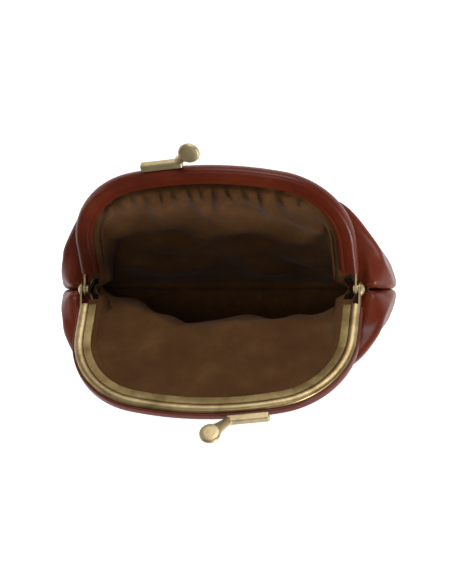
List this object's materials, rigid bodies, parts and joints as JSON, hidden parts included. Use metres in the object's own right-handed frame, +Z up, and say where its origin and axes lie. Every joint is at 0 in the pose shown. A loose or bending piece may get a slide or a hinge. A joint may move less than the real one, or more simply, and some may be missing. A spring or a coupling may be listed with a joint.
{
  "type": "coin purse",
  "caption": "Small leather coin purse standing open, with an arched brass frame in two hinged arms, a kiss-lock clasp and a loose woven lining.",
  "frame": {"origin": "centre of the base, on the surface the purse stands on", "axes": "+Z up, +X along the hinge axis, the front arm opens towards -Y"},
  "size_m": [0.1128, 0.0959, 0.0836],
  "materials": {
    "frame_brass": "satin antique",
    "clasp_brass": "satin antique",
    "cover_leather": "glossy smooth",
    "panel_leather": "glossy smooth",
    "lining_fabric": "plain weave",
    "paper_cord": "twisted paper",
    "thread": "waxed thread"
  },
  "bodies": {
    "bag": {"front_leather_panel": "panel_leather", "rear_leather_panel": "panel_leather", "front_lining": "lining_fabric", "rear_lining": "lining_fabric", "leather_seam_thread": "thread", "lining_seam_thread": "thread"},
    "front_arm": {"front_frame": "frame_brass", "front_frame_cover": "cover_leather", "front_paper_cord": "paper_cord", "front_clasp_lever": "clasp_brass"},
    "rear_arm": {"rear_frame": "frame_brass", "rear_frame_cover": "cover_leather", "rear_paper_cord": "paper_cord", "rear_clasp_lever": "clasp_brass", "left_rivet": "clasp_brass", "right_rivet": "clasp_brass"}
  },
  "joints": [
    {"name": "front_arm_hinge", "type": "hinge", "parent": "bag", "child": "front_arm", "pos_m": [0, 0, 0.04444], "axis": [-1, 0, 0], "range_deg": [0, 54], "deforming": ["front_leather_panel", "front_lining"]},
    {"name": "rear_arm_hinge", "type": "hinge", "parent": "bag", "child": "rear_arm", "pos_m": [0, 0, 0.04444], "axis": [1, 0, 0], "range_deg": [0, 54], "deforming": ["rear_leather_panel", "rear_lining"]}
  ],
  "couplings": [
    {"joint": "rear_arm_hinge", "follows": "front_arm_hinge", "ratio": 1}
  ]
}
